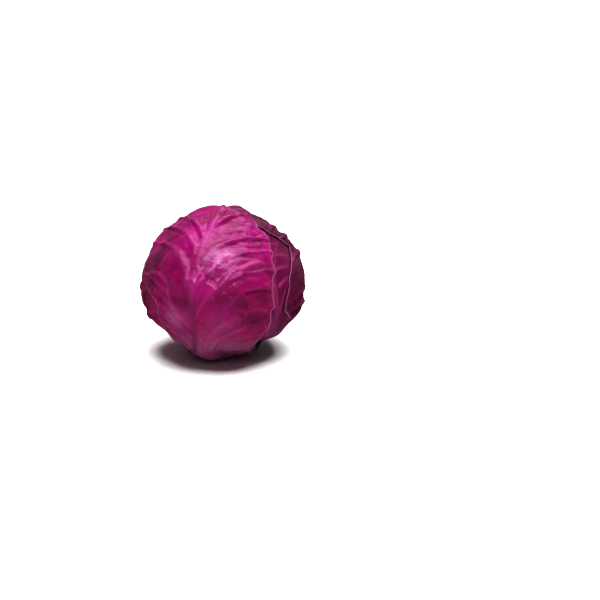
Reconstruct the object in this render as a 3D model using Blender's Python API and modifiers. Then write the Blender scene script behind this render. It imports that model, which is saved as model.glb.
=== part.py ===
"""A whole red cabbage head standing on its cut stem, about 150 mm across and 137 mm tall.

Every surface is a distance from the middle of the head, given for a direction. The leaves lie on
each other like shells: each one rests on what is beneath it, is open to the air near its ribs and
margin, and is cut off level just above the ground. Lengths are in metres, angles in degrees, +Z is
up, and leaf 1 faces -Y. The origin is on the ground under the middle of the head.
"""

import bmesh
import bpy
import numpy as np

# Size of the head, over the outermost leaves
MIDDLE_HEIGHT = 0.0645
TOP_RADIUS = 0.0706
SIDE_RADIUS = 0.0742
UNDERSIDE_DISTANCE = 0.0657
UNDERSIDE_TILT = 29.0
UNDERSIDE_LEAN = 3.0
CONE_BLEND = 8.0
MOST_SLANT = 75.0
CORNER_SHARPNESS = 16
UNEVENNESS = 0.0009
UNEVEN_WAVES = ((3.1, 0.0, 1.7, 0.6), (0.0, 4.3, -2.6, 2.1), (3.4, -2.2, 5.2, 0.0))

# The leaves: how thick, how far apart, and how much of the outer size their layers take up
LEAF_THICKNESS = 0.0012
LEAF_GAP = 0.0005
LEAF_SLACK = 0.00055
LAYER = LEAF_THICKNESS + LEAF_GAP + LEAF_SLACK
BASE_SLACK = 0.0010
BASE_SLACK_START = 0.5
BASE_SLACK_WIDTH = 0.2
SIDE_LAYERS = 2.5
TOP_LAYERS = 6.0
TOP_CAP_DEPTH = 0.9
CUT_HEIGHT = 0.0035
STEP_START = 4.5
STEP_WIDTH = 14.0
RELIEF_FADE = 12.0

# Leaf spiral: leaf 1 is the outermost, and each next one inwards turns by the golden angle
FIRST_AZIMUTH = -12.0
GOLDEN_ANGLE = 137.5
LEAF_CENTRE_POLAR = 72.0
PHASE_STEP = 1.9
MARGIN_BEARINGS = np.linspace(-180.0, 180.0, 721)
EDGE_STEP = 3
LEAST_CUT_DISTANCE = 60.0
HALVINGS = 24

# Each leaf from the outermost in: half width and tip distance in degrees, the midrib's lean in
# degrees, and how many cells the grid has each way (the outer leaves show more, so have more)
LEAVES = (
    (54.0, 72.0, -9.0, 27),
    (55.0, 78.0, 5.0, 27),
    (62.0, 80.0, -4.0, 27),
    (66.0, 82.0, 4.0, 23),
    (67.0, 82.0, -5.0, 20),
    (68.0, 82.0, 3.0, 20),
)

# Outline of a leaf: how it lengthens towards its tip and its base, and (size, count, shift) waves
TIP_PART_START = 0.3
BASE_RUN = 56.0
BASE_SPREAD = 52.0
BASE_FLARE = 44.0
EDGE_WAVES = ((2.6, 5, 1.0), (1.9, 9, 2.3), (1.2, 14, 0.7))

# Where one leaf's edge draws in or reaches out, in degrees: (leaf, size, bearing, half width)
EDGE_LOBES = (
    (1, 24.0, -64.0, 46.0), (1, 12.0, -20.0, 40.0), (1, 7.0, 43.0, 14.0), (1, 8.5, 124.0, 26.0),
    (2, -26.0, -45.0, 60.0), (2, 21.0, -108.0, 36.0),
)

# Ribs, from the base of the leaf at -87 degrees to its tip at 70 degrees
BASE_ALONG = -87.0
TIP_ALONG = 70.0
MIDRIB_BASE_HEIGHT = 0.0046
MIDRIB_TIP_HEIGHT = 0.0018
MIDRIB_BASE_HALF_WIDTH = 16.0
MIDRIB_TIP_HALF_WIDTH = 5.0
MIDRIB_BOW = 0.7
MIDRIB_TAPER = 1.6
SIDE_RIB_STARTS = (-84.0, -62.0, -38.0, -12.0, 14.0, 38.0)
SIDE_RIB_HEIGHT = 0.0027
SIDE_RIB_HALF_WIDTH = 5.2
SIDE_RIB_REACH = 15.0
SIDE_RIB_SLANT = 0.1
SIDE_RIB_FALL = 75.0
SIDE_RIB_START_FADE = 4.0
SIDE_RIB_BASE_FADE = 22.0
SIDE_RIB_SCATTER = 7.0
SIDE_RIB_SCATTER_STEP = 2.1
SIDE_RIB_BASE_RISE = 52.0
SIDE_RIB_LESS_RISE = 0.22

# The blade between the ribs: puckers, which calm down towards the edge, and ruffles along it
PUCKER_HEIGHT = 0.0007
PUCKER_WAVES = ((0.17, 0.11, 1.0), (-0.10, 0.13, 1.3))
SMOOTH_BASE = 12.0
RUFFLE_HEIGHT = 0.0007
RUFFLE_DEPTH = 13.0
RUFFLES = 9
EDGE_CALM = 0.6

# The swelling high on the front leaf, on which the ribs die down: (leaf, across, along, half width,
# half length), the last four in degrees
SWELLING = (1, 9.0, 15.0, 19.0, 16.0)
SWELLING_HEIGHT = 0.0028
SWELLING_CALM = 0.8

# The stem and the pocket that the packed inner leaves leave for it
STEM_PROFILE = (
    (0.0126, 0.0), (0.0126, 0.004), (0.0124, 0.012), (0.0117, 0.024),
    (0.0096, 0.037), (0.0062, 0.048), (0.0030, 0.055), (0.0, 0.0575),
)
STEM_SIDES = 32
STEM_CLEARANCE = 0.0005
INNER_HEAD_CLEARANCE = 0.0016
INNER_HEAD_BOTTOM = 0.005
INNER_HEAD_SEGMENTS = 32
INNER_HEAD_RINGS = 20

# Colours, as red, green and blue parts of the light given back, and how matte each skin is
RED_LEAF = (0.30, 0.02, 0.115)
PACKED_LEAF = (0.30, 0.03, 0.15)
STEM_FLESH = (0.72, 0.62, 0.55)
LEAF_ROUGHNESS = 0.42
PACKED_ROUGHNESS = 0.5
STEM_ROUGHNESS = 0.6


def clear_scene():
    """Remove whatever the file holds, so that the head stands alone."""
    for item in list(bpy.data.objects):
        bpy.data.objects.remove(item, do_unlink=True)


def material(name, colour, roughness):
    """A plain skin of one colour."""
    made = bpy.data.materials.new(name)
    made.use_nodes = True
    shader = made.node_tree.nodes["Principled BSDF"]
    shader.inputs["Base Color"].default_value = (*colour, 1.0)
    shader.inputs["Roughness"].default_value = roughness
    shader.inputs["Metallic"].default_value = 0.0
    return made


def collection(name):
    """A new collection linked to the scene."""
    made = bpy.data.collections.new(name)
    bpy.context.scene.collection.children.link(made)
    return made


def smooth_step(value):
    """0 below 0, 1 above 1, and the smooth cubic 3v^2 - 2v^3 between."""
    held = np.clip(value, 0.0, 1.0)
    return held * held * (3.0 - 2.0 * held)


def head_radius(direction):
    """Distance from the middle to the packed inner leaves, under all the wrapper leaves.

    A globe whose radius goes from the top's to the side's with the square of the sine of the polar
    angle, met by a cone-shaped underside with a rounded corner (the p-norm of both). The cone
    leans a little towards -X, and inside it the globe is put out of its way. The wrapper leaves'
    layers are taken off, and a few slow waves make it uneven.
    """
    x, y, z = direction.T
    sine_squared = 1.0 - z * z
    layers = TOP_LAYERS + (SIDE_LAYERS - TOP_LAYERS) * smooth_step((1.0 - z) / TOP_CAP_DEPTH)
    lean = np.radians(UNDERSIDE_LEAN)
    below = -np.cos(lean) * z - np.sin(lean) * x
    from_below = np.degrees(np.arccos(np.clip(below, -1.0, 1.0)))
    globe = TOP_RADIUS + (SIDE_RADIUS - TOP_RADIUS) * sine_squared
    inside_cone = smooth_step((UNDERSIDE_TILT + CONE_BLEND - from_below) / UNDERSIDE_TILT)
    globe += UNDERSIDE_DISTANCE * inside_cone
    slant = np.radians(np.clip(from_below - UNDERSIDE_TILT, -MOST_SLANT, MOST_SLANT))
    cone = UNDERSIDE_DISTANCE / np.cos(slant)
    power = -CORNER_SHARPNESS
    outer = (globe**power + cone**power) ** (1.0 / power)
    waves = sum(np.sin(a * x + b * y + c * z + start) for a, b, c, start in UNEVEN_WAVES)
    return outer - layers * LAYER + UNEVENNESS * waves


def compass(azimuth):
    """Level unit vector at an azimuth counted from -Y towards +X."""
    turn = np.radians(azimuth)
    return np.array([np.sin(turn), -np.cos(turn), 0.0])


class Leaf:
    """One wrapper leaf: where it faces, its outline, and its waves.

    A leaf has a plane of its own, in degrees on the head: 'across' to its right and 'along' towards
    its tip, from a centre LEAF_CENTRE_POLAR below the top. Distance and bearing in that plane are
    distance and bearing on a sphere (an azimuthal equidistant map).
    """

    def __init__(self, number, half_width, tip, lean, cells):
        self.number = number
        self.cells = cells
        self.half_width = half_width
        self.tip = tip
        self.lean = lean
        self.phase = PHASE_STEP * number
        facing = compass(FIRST_AZIMUTH + GOLDEN_ANGLE * (number - 1))
        polar = np.radians(LEAF_CENTRE_POLAR)
        upright = np.array([0.0, 0.0, 1.0])
        self.centre = np.sin(polar) * facing + np.cos(polar) * upright
        self.along = np.sin(polar) * upright - np.cos(polar) * facing
        self.across = np.cross(self.along, self.centre)
        self.outer_margin = self.side_margin(MARGIN_BEARINGS)
        self.inner_margin = self.outer_margin
        self.edge = self.direction(self.outer_margin, MARGIN_BEARINGS)

    def direction(self, distance, bearing):
        """The direction from the head's middle for a distance and bearing in the leaf's plane."""
        reach = np.radians(distance)[:, None]
        turn = np.radians(bearing)[:, None]
        sideways = np.cos(turn) * self.along + np.sin(turn) * self.across
        return np.cos(reach) * self.centre + np.sin(reach) * sideways

    def place(self, direction):
        """Distance and bearing in the leaf's plane of a direction from the head's middle."""
        distance = np.degrees(np.arccos(np.clip(direction @ self.centre, -1.0, 1.0)))
        bearing = np.degrees(np.arctan2(direction @ self.across, direction @ self.along))
        return distance, bearing

    def side_margin(self, bearing):
        """Distance of the leaf's edge for a bearing, before the cut at the base.

        The half width, longer towards the tip, much longer near the base where the leaf runs down
        to the stem, with waves of three lengths round the edge and the leaf's own lobes.
        """
        turn = np.radians(bearing)
        from_base = 180.0 - np.abs(bearing)
        towards_tip = smooth_step((np.cos(turn) - TIP_PART_START) / (1.0 - TIP_PART_START))
        tip_part = (self.tip - self.half_width) * towards_tip
        base_part = BASE_RUN * smooth_step((BASE_SPREAD - from_base) / BASE_FLARE)
        waves = sum(
            size * np.sin(count * turn + shift * self.phase) for size, count, shift in EDGE_WAVES
        )
        waves *= smooth_step((from_base - 0.5 * BASE_FLARE) / BASE_FLARE)
        for number, size, middle, half_width in EDGE_LOBES:
            if number == self.number:
                waves = waves + size * bump(bearing - middle, half_width)
        return self.half_width + tip_part + base_part + waves

    def margin(self, bearing):
        """Distance of the leaf's edge for a bearing, after the cut at the base."""
        return np.interp(bearing, MARGIN_BEARINGS, self.outer_margin)

    def beyond_edge(self, direction):
        """Degrees from the nearest point of the leaf's edge: more than 0 off the leaf, less on it."""
        distance, bearing = self.place(direction)
        nearest = np.max(direction @ self.edge[::EDGE_STEP].T, axis=1)
        away = np.degrees(np.arccos(np.clip(nearest, -1.0, 1.0)))
        return np.where(distance > self.margin(bearing), away, -away)

    def cover(self, direction, start, width):
        """1 where this leaf lies, falling to 0 from start to start + width degrees beyond its edge."""
        return 1.0 - smooth_step((self.beyond_edge(direction) - start) / width)


def midrib_course(leaf, along):
    """How far across the midrib lies: a slow bow, no lean at the base."""
    part = (along - BASE_ALONG) / (TIP_ALONG - BASE_ALONG)
    return leaf.lean * np.sin(np.pi * np.clip(part, 0.0, 1.0) ** MIDRIB_BOW)


def bump(offset, half_width):
    """A rounded ridge: 1 in the middle, falling as a squared cosine to 0 at the half width."""
    part = np.clip(np.abs(offset) / half_width, 0.0, 1.0)
    return np.cos(0.5 * np.pi * part) ** 2


def swelling(leaf, across, along):
    """How far up the leaf's swelling a point lies: 1 on its top, 0 at its foot and beyond."""
    number, middle, height, half_width, half_length = SWELLING
    if leaf.number != number:
        return np.zeros(len(across))
    return bump(np.hypot((across - middle) / half_width, (along - height) / half_length), 1.0)


def rib_height(leaf, across, along):
    """Height of the midrib and the side ribs above the blade.

    The midrib is broad and thick at the base and thins to the tip. Each side rib leaves it steeply
    and bends outwards: along = start + rise * (1 - exp(-aside / SIDE_RIB_REACH)). Its width is
    measured square to its course, so the offset is divided by how steep the course is.
    """
    part = np.clip((along - BASE_ALONG) / (TIP_ALONG - BASE_ALONG), 0.0, 1.0)
    thin = 1.0 - (1.0 - part) ** MIDRIB_TAPER
    aside = across - midrib_course(leaf, along)
    height = MIDRIB_BASE_HEIGHT + (MIDRIB_TIP_HEIGHT - MIDRIB_BASE_HEIGHT) * thin
    half_width = MIDRIB_BASE_HALF_WIDTH + (MIDRIB_TIP_HALF_WIDTH - MIDRIB_BASE_HALF_WIDTH) * thin
    highest = height * bump(aside, half_width)
    for index, start in enumerate(SIDE_RIB_STARTS):
        for side in (-1.0, 1.0):
            begin = start + SIDE_RIB_SCATTER * np.sin(leaf.phase + SIDE_RIB_SCATTER_STEP * index + side)
            rise = SIDE_RIB_BASE_RISE - SIDE_RIB_LESS_RISE * (begin - BASE_ALONG)
            out = np.maximum(side * aside, 0.0)
            left = np.exp(-out / SIDE_RIB_REACH)
            course = begin + rise * (1.0 - left) + SIDE_RIB_SLANT * out
            steepness = np.hypot(1.0, rise / SIDE_RIB_REACH * left + SIDE_RIB_SLANT)
            fall = np.exp(-out / SIDE_RIB_FALL) * smooth_step(side * aside / SIDE_RIB_START_FADE)
            fall = fall * smooth_step((along - BASE_ALONG - SMOOTH_BASE) / SIDE_RIB_BASE_FADE)
            ridge = bump((along - course) / steepness, SIDE_RIB_HALF_WIDTH)
            highest = np.maximum(highest, SIDE_RIB_HEIGHT * fall * ridge)
    return highest * (1.0 - SWELLING_CALM * swelling(leaf, across, along))


def blade_lift(leaf, across, along, beyond):
    """How far the whole blade stands off what is beneath: puckers between the ribs, waved edges."""
    puckers = np.ones(len(across))
    for a, b, shift in PUCKER_WAVES:
        puckers = puckers * np.sin(a * across + b * along + shift * leaf.phase)
    ruffle = np.sin(RUFFLES * np.arctan2(across, along) + leaf.phase)
    near_edge = smooth_step((beyond + RUFFLE_DEPTH) / RUFFLE_DEPTH)
    quiet_base = smooth_step((along - BASE_ALONG - SMOOTH_BASE) / (3.0 * SMOOTH_BASE))
    lift = PUCKER_HEIGHT * (1.0 + puckers) * (1.0 - EDGE_CALM * near_edge)
    lift += RUFFLE_HEIGHT * (1.0 + ruffle) * near_edge
    lift += SWELLING_HEIGHT * swelling(leaf, across, along)
    return lift * quiet_base


def bed(leaves, index, direction):
    """What leaf 'index' rests on: the packed head plus a layer for each leaf under it.

    Round the base, where the edges crowd together, the layers lie a little further apart.
    """
    near_base = smooth_step((-direction[:, 2] - BASE_SLACK_START) / BASE_SLACK_WIDTH)
    layer = LAYER + BASE_SLACK * near_base
    height = head_radius(direction)
    for under in leaves[index + 1:]:
        height = height + layer * under.cover(direction, STEP_START, STEP_WIDTH)
    return height


def open_to_air(leaves, index, direction):
    """1 where no other leaf lies over leaf 'index', 0 where one does, smooth between."""
    free = np.ones(len(direction))
    for over in leaves[:index]:
        free = free * (1.0 - over.cover(direction, STEP_START, RELIEF_FADE))
    return free


def leaf_surfaces(leaves, index, distance, bearing):
    """Directions, and the inner and the outer surface's distance from the head's middle."""
    leaf = leaves[index]
    direction = leaf.direction(distance, bearing)
    turn = np.radians(bearing)
    across = distance * np.sin(turn)
    along = distance * np.cos(turn)
    free = open_to_air(leaves, index, direction)
    beyond = leaf.beyond_edge(direction)
    inner = bed(leaves, index, direction) + LEAF_GAP
    inner = inner + free * blade_lift(leaf, across, along, beyond)
    outer = inner + LEAF_THICKNESS + free * rib_height(leaf, across, along)
    return direction, inner, outer


def cut_base(leaves, index):
    """Shorten the leaf's edge near the base to where each surface comes down to the cut.

    Halving finds, for each bearing, the distance at which the surface is at the cut height.
    """
    leaf = leaves[index]
    tables = []
    for surface in (1, 2):
        near = np.full(len(MARGIN_BEARINGS), LEAST_CUT_DISTANCE)
        far = np.full(len(MARGIN_BEARINGS), 180.0 - LEAF_CENTRE_POLAR)
        for _ in range(HALVINGS):
            middle = 0.5 * (near + far)
            found = leaf_surfaces(leaves, index, middle, MARGIN_BEARINGS)
            height = MIDDLE_HEIGHT + found[surface] * found[0][:, 2]
            near = np.where(height > CUT_HEIGHT, middle, near)
            far = np.where(height > CUT_HEIGHT, far, middle)
        tables.append(np.minimum(leaf.outer_margin, near))
    leaf.inner_margin, leaf.outer_margin = tables
    leaf.edge = leaf.direction(leaf.outer_margin, MARGIN_BEARINGS)


def leaf_grid(cells):
    """Points of a round patch: the square from -1 to 1 bent into a disc, so that it has no pole.

    x = u * sqrt(1 - v^2 / 2) and y = v * sqrt(1 - u^2 / 2); gives the radius and the bearing.
    """
    even = np.linspace(-1.0, 1.0, cells + 1)
    u, v = np.meshgrid(even, even)
    x = (u * np.sqrt(1.0 - 0.5 * v * v)).ravel()
    y = (v * np.sqrt(1.0 - 0.5 * u * u)).ravel()
    return np.hypot(x, y), np.degrees(np.arctan2(x, y))


def shell_faces(cells):
    """Triangles of both surfaces, split alike, and of the strip round the edge that joins them.

    Each square is split along the diagonal that points to its quarter's corner of the patch, so
    that no triangle there is flat.
    """
    number = np.arange((cells + 1) ** 2).reshape(cells + 1, cells + 1)
    a, b = number[:-1, :-1].ravel(), number[:-1, 1:].ravel()
    c, d = number[1:, 1:].ravel(), number[1:, :-1].ravel()
    first_half = np.arange(cells) < 0.5 * cells
    rising = (first_half[:, None] == first_half).ravel()[:, None]
    outer = np.concatenate([
        np.where(rising, np.stack([a, b, c], 1), np.stack([a, b, d], 1)),
        np.where(rising, np.stack([a, c, d], 1), np.stack([b, c, d], 1)),
    ])
    inner = outer[:, ::-1] + number.size
    rim = np.concatenate([number[0, :-1], number[:-1, -1], number[-1, :0:-1], number[:0:-1, 0]])
    after = np.roll(rim, -1)
    strip = np.concatenate([
        np.stack([rim, rim + number.size, after + number.size], 1),
        np.stack([rim, after + number.size, after], 1),
    ])
    return np.concatenate([outer, inner, strip])


def add_leaf(leaves, index, target, skin):
    """One wrapper leaf as a closed shell."""
    leaf = leaves[index]
    radius, bearing = leaf_grid(leaf.cells)
    outer_distance = radius * leaf.margin(bearing)
    inner_distance = radius * np.interp(bearing, MARGIN_BEARINGS, leaf.inner_margin)
    direction, _, outer = leaf_surfaces(leaves, index, outer_distance, bearing)
    under, inner, _ = leaf_surfaces(leaves, index, inner_distance, bearing)
    points = np.concatenate([direction * outer[:, None], under * inner[:, None]])
    points[:, 2] += MIDDLE_HEIGHT
    name = f"wrapper_leaf_{leaf.number}"
    mesh = bpy.data.meshes.new(name)
    mesh.from_pydata(points.tolist(), [], shell_faces(leaf.cells).tolist())
    mesh.shade_smooth()
    mesh.materials.append(skin)
    made = bpy.data.objects.new(name, mesh)
    target.objects.link(made)
    return made


def turned(name, profile, sides, target):
    """A body of revolution from an outline of (radius, height) points, by the Screw modifier."""
    mesh = bpy.data.meshes.new(name)
    points = [(0.0, 0.0, profile[0][1])] + [(radius, 0.0, height) for radius, height in profile]
    edges = [(step + 1, step) for step in range(len(points) - 1)]
    mesh.from_pydata(points, edges, [])
    made = bpy.data.objects.new(name, mesh)
    target.objects.link(made)
    screw = made.modifiers.new("turn", "SCREW")
    screw.steps = sides
    screw.render_steps = sides
    screw.use_merge_vertices = True
    screw.merge_threshold = 0.00001
    return made


def add_stem(target, skin):
    """The cut stem: flat below, tapering up into the head."""
    made = turned("stem", STEM_PROFILE, STEM_SIDES, target)
    made.data.materials.append(skin)
    return made


def pocket_cutter(target):
    """The stem's shape with its clearance, reaching below the head."""
    profile = [(radius + STEM_CLEARANCE, height) for radius, height in STEM_PROFILE[:-1]]
    profile[0] = (profile[0][0], -0.01)
    profile.append((0.0, STEM_PROFILE[-1][1] + 2.0 * STEM_CLEARANCE))
    made = turned("stem_pocket_cutter", profile, STEM_SIDES, target)
    made.hide_render = True
    made.display_type = "WIRE"
    return made


def add_inner_head(target, cutters, skin):
    """The tight inner leaves as one dense ball, flat below, with a pocket for the stem."""
    mesh = bpy.data.meshes.new("inner_head")
    ball = bmesh.new()
    bmesh.ops.create_uvsphere(
        ball, u_segments=INNER_HEAD_SEGMENTS, v_segments=INNER_HEAD_RINGS, radius=1.0
    )
    bmesh.ops.triangulate(ball, faces=ball.faces)
    ball.to_mesh(mesh)
    ball.free()
    direction = np.empty(len(mesh.vertices) * 3)
    mesh.vertices.foreach_get("co", direction)
    direction = direction.reshape(-1, 3)
    direction /= np.linalg.norm(direction, axis=1, keepdims=True)
    downward = np.maximum(-direction[:, 2], 1e-3)
    floor = (MIDDLE_HEIGHT - INNER_HEAD_BOTTOM) / downward
    distance = np.minimum(head_radius(direction) - INNER_HEAD_CLEARANCE, floor)
    points = direction * distance[:, None]
    points[:, 2] += MIDDLE_HEIGHT
    mesh.vertices.foreach_set("co", points.ravel())
    mesh.shade_smooth()
    mesh.materials.append(skin)
    made = bpy.data.objects.new("inner_head", mesh)
    target.objects.link(made)
    pocket = made.modifiers.new("stem pocket", "BOOLEAN")
    pocket.operation = "DIFFERENCE"
    pocket.solver = "EXACT"
    pocket.object = pocket_cutter(cutters)
    return made


def build():
    """The leaves from the innermost out, so that each one knows what it rests on."""
    clear_scene()
    head = collection("cabbage_head")
    cutters = collection("cutters")
    leaf_skin = material("red_leaf", RED_LEAF, LEAF_ROUGHNESS)
    inner_skin = material("packed_leaf", PACKED_LEAF, PACKED_ROUGHNESS)
    stem_skin = material("stem_flesh", STEM_FLESH, STEM_ROUGHNESS)
    leaves = [Leaf(number, *shape) for number, shape in enumerate(LEAVES, start=1)]
    add_inner_head(head, cutters, inner_skin)
    add_stem(head, stem_skin)
    for index in reversed(range(len(leaves))):
        cut_base(leaves, index)
        add_leaf(leaves, index, head, leaf_skin)


build()
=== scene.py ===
import bpy
import numpy as np
from mathutils import Matrix, Vector


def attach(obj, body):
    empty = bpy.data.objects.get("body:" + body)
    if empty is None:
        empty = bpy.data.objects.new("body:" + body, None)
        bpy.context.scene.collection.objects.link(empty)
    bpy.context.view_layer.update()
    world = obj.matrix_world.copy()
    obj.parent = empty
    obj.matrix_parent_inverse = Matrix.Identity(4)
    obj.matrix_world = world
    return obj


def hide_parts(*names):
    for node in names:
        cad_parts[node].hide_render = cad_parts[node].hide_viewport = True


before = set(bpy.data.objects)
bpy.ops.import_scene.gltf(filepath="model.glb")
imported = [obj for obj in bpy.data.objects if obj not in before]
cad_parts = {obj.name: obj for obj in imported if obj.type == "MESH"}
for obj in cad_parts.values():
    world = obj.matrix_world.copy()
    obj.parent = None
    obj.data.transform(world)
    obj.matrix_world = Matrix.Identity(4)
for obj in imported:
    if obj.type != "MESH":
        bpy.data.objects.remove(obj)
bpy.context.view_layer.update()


# The stem: the short stalk of the plant, sawn off level just under the leaves. The cut face is moist
# pale flesh with a darker ring of fibres, drying to brown at its edge; the rest tapers up into the head.
# The stem's outline from the cut up: (radius, height)
STEM_OUTLINE = ((0.0126, 0.0), (0.0126, 0.004), (0.0124, 0.012), (0.0117, 0.024),
                (0.0096, 0.037), (0.0062, 0.048), (0.0030, 0.055), (0.0, 0.0575))
STEM_SIDES = 96
STEM_ROWS = 90
CUT_FACE_ROWS = 30
CUT_EDGE_ROUNDING = 0.0005
STEM_FLUTES = 11
FLUTE_DEPTH = 0.0003
FLUTE_WANDER = 0.7
FLUTE_RAMP = (0.001, 0.004)
FLUTED_RADIUS = 0.006
FIBRE_DEPTH = 0.00012
FIBRE_RINGS = 900.0
FIBRE_SPOKES = 19.0
FIBRE_TWIST = 700.0
FIBRE_WANDER = 5.0
WANDERS = 3.0
FACE_FADE = 0.0004
FACE_RIM = 0.002


def smooth_step(value):
    """0 below 0, 1 above 1, and the smooth cubic 3v^2 - 2v^3 between."""
    held = np.clip(value, 0.0, 1.0)
    return held * held * (3.0 - 2.0 * held)


def ramp(value, start, run):
    """0 up to the start, 1 from start + run on. A constant named RAMP holds (start, run)."""
    return smooth_step((value - start) / run)


def ring_mesh(name, grid):
    """A closed skin over a grid of rows of points round an axis, with one point at each end."""
    rows, sides = grid.shape[:2]
    points = np.concatenate([grid[0, :1], grid[1:-1].reshape(-1, 3), grid[-1, :1]])
    number = 1 + np.arange((rows - 2) * sides).reshape(rows - 2, sides)
    after = np.roll(number, -1, axis=1)
    quads = np.stack([number[:-1], after[:-1], after[1:], number[1:]], axis=-1).reshape(-1, 4)
    first = np.stack([np.zeros(sides, int), after[0], number[0]], axis=-1)
    last = np.stack([np.full(sides, len(points) - 1), number[-1], after[-1]], axis=-1)
    mesh = bpy.data.meshes.new(name)
    mesh.from_pydata(points.tolist(), [], quads.tolist() + first.tolist() + last.tolist())
    mesh.validate()
    mesh.shade_smooth()
    return mesh


def stem_grid():
    """Rows from the middle of the cut face out to its edge and up the side to the point.

    Radius and height follow the outline. The edge of the cut is rounded off, shallow flutes run up
    the side, and the cut face is pitted by the ends of the fibres.
    """
    outline = np.array(STEM_OUTLINE)
    height = np.linspace(0.0, outline[-1, 1], STEM_ROWS)
    radius = np.interp(height, outline[:, 1], outline[:, 0])
    from_cut = np.clip(1.0 - height / CUT_EDGE_ROUNDING, 0.0, 1.0)
    radius = radius - CUT_EDGE_ROUNDING * (1.0 - np.sqrt(1.0 - from_cut**2))
    face = np.linspace(0.0, radius[0], CUT_FACE_ROWS, endpoint=False)
    radius = np.concatenate([face, radius])
    height = np.concatenate([np.zeros(CUT_FACE_ROWS), height])
    turn = np.linspace(0.0, 2.0 * np.pi, STEM_SIDES, endpoint=False)
    on_side = ramp(height, *FLUTE_RAMP) * smooth_step(radius / FLUTED_RADIUS)
    wander = np.sin(WANDERS * turn)
    flutes = FLUTE_DEPTH * (0.5 + 0.5 * np.sin(STEM_FLUTES * turn + FLUTE_WANDER * wander))
    wide = radius[:, None] - on_side[:, None] * flutes
    rings = np.sin(FIBRE_RINGS * wide + FIBRE_WANDER * wander)
    pits = rings * np.sin(FIBRE_SPOKES * turn + FIBRE_TWIST * wide)
    from_rim = (STEM_OUTLINE[0][0] - radius) / FACE_RIM
    on_face = smooth_step(1.0 - height / FACE_FADE) * smooth_step(from_rim)
    level = height[:, None] + FIBRE_DEPTH * (1.0 + pits) * on_face[:, None]
    return np.stack([wide * np.cos(turn), wide * np.sin(turn), level], axis=-1)


class Skin:
    """A material under construction: its nodes are added one by one and end in one shader."""

    def __init__(self, name):
        self.made = bpy.data.materials.new(name)
        self.made.use_nodes = True
        self.tree = self.made.node_tree
        self.shader = self.tree.nodes["Principled BSDF"]

    def set(self, socket, value):
        """Give a socket a plain value, or join another node's output to it."""
        if isinstance(value, bpy.types.NodeSocket):
            self.tree.links.new(value, socket)
        else:
            socket.default_value = value
        return socket

    def node(self, kind, sockets, **settings):
        """A node with its settings and its input sockets by name or number."""
        node = self.tree.nodes.new(kind)
        for name, value in settings.items():
            setattr(node, name, value)
        for name, value in sockets.items():
            self.set(node.inputs[name], value)
        return node

    def place(self):
        """The point on the piece, in metres in the piece's own space."""
        return self.node("ShaderNodeTexCoord", {}).outputs["Object"]

    def painted(self, name):
        """A value painted on the mesh, from 0 to 1."""
        return self.node("ShaderNodeAttribute", {}, attribute_name=name).outputs["Fac"]

    def noise(self, where, scale, detail=4.0, roughness=0.55):
        """Cloudy noise from 0 to 1."""
        sockets = {"Vector": where, "Scale": scale, "Detail": detail, "Roughness": roughness}
        return self.node("ShaderNodeTexNoise", sockets).outputs["Fac"]

    def spread(self, value, low, high, to_low=0.0, to_high=1.0):
        """The value's range from low to high, stretched to another range and held there."""
        sockets = {"Value": value, "From Min": low, "From Max": high, "To Min": to_low, "To Max": to_high}
        return self.node("ShaderNodeMapRange", sockets, clamp=True).outputs["Result"]

    def sum(self, kind, first, second):
        """Arithmetic on two values."""
        return self.node("ShaderNodeMath", {0: first, 1: second}, operation=kind).outputs[0]

    def mix(self, amount, first, second):
        """One colour laid over another by an amount from 0 to 1."""
        node = self.node("ShaderNodeMix", {"Factor": amount}, data_type="RGBA")
        colours = [socket for socket in node.inputs if socket.type == "RGBA"]
        for socket, value in zip(colours, (first, second)):
            self.set(socket, value if isinstance(value, bpy.types.NodeSocket) else (*value, 1.0))
        return [socket for socket in node.outputs if socket.type == "RGBA"][0]

    def raised(self, height, depth, strength=1.0):
        """Surface relief finer than the mesh, to a depth in metres."""
        sockets = {"Height": height, "Distance": depth, "Strength": strength}
        return self.node("ShaderNodeBump", sockets).outputs["Normal"]

    def finish(self, **sockets):
        """Set the shader's sockets by name, with _ for a space."""
        for name, value in sockets.items():
            self.set(self.shader.inputs[name.replace("_", " ")], value)
        return self.made


RING_INSIDE = (0.0078, 0.0092)
RING_OUTSIDE = (0.0112, 0.0098)
DRY_EDGE = (0.0118, 0.0136)
RING_WANDER = 0.0016
FLESH_DARK = (0.40, 0.33, 0.25)
FLESH_LIGHT = (0.52, 0.46, 0.38)
RING_PURPLE = (0.24, 0.08, 0.14)
DRY_BROWN = (0.17, 0.08, 0.06)


def flesh_skin():
    """Pale flesh, a ring of purple fibres inside the edge, a brown dry edge, and fine fibres."""
    skin = Skin("cut_stem_flesh")
    place = skin.place()
    flat = skin.node("ShaderNodeMapping", {"Vector": place, "Scale": (1.0, 1.0, 0.0)}).outputs[0]
    from_axis = skin.node("ShaderNodeVectorMath", {0: flat}, operation="LENGTH").outputs["Value"]
    cloud = skin.noise(place, 350.0, 6.0, 0.65)
    wander = skin.sum("ADD", from_axis, skin.spread(cloud, 0.2, 0.8, -RING_WANDER, RING_WANDER))
    inside = skin.spread(wander, *RING_INSIDE)
    outside = skin.spread(wander, *RING_OUTSIDE)
    ring = skin.sum("MULTIPLY", inside, outside)
    edge = skin.spread(wander, *DRY_EDGE)
    colour = skin.mix(cloud, FLESH_DARK, FLESH_LIGHT)
    colour = skin.mix(ring, colour, RING_PURPLE)
    colour = skin.mix(edge, colour, DRY_BROWN)
    fibres = skin.noise(place, 1400.0, 3.0, 0.6)
    return skin.finish(
        Base_Color=colour, Roughness=skin.spread(cloud, 0.3, 0.7, 0.45, 0.7),
        Normal=skin.raised(fibres, 0.0003), Subsurface_Weight=0.1, Subsurface_Scale=0.003,
    )


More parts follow.
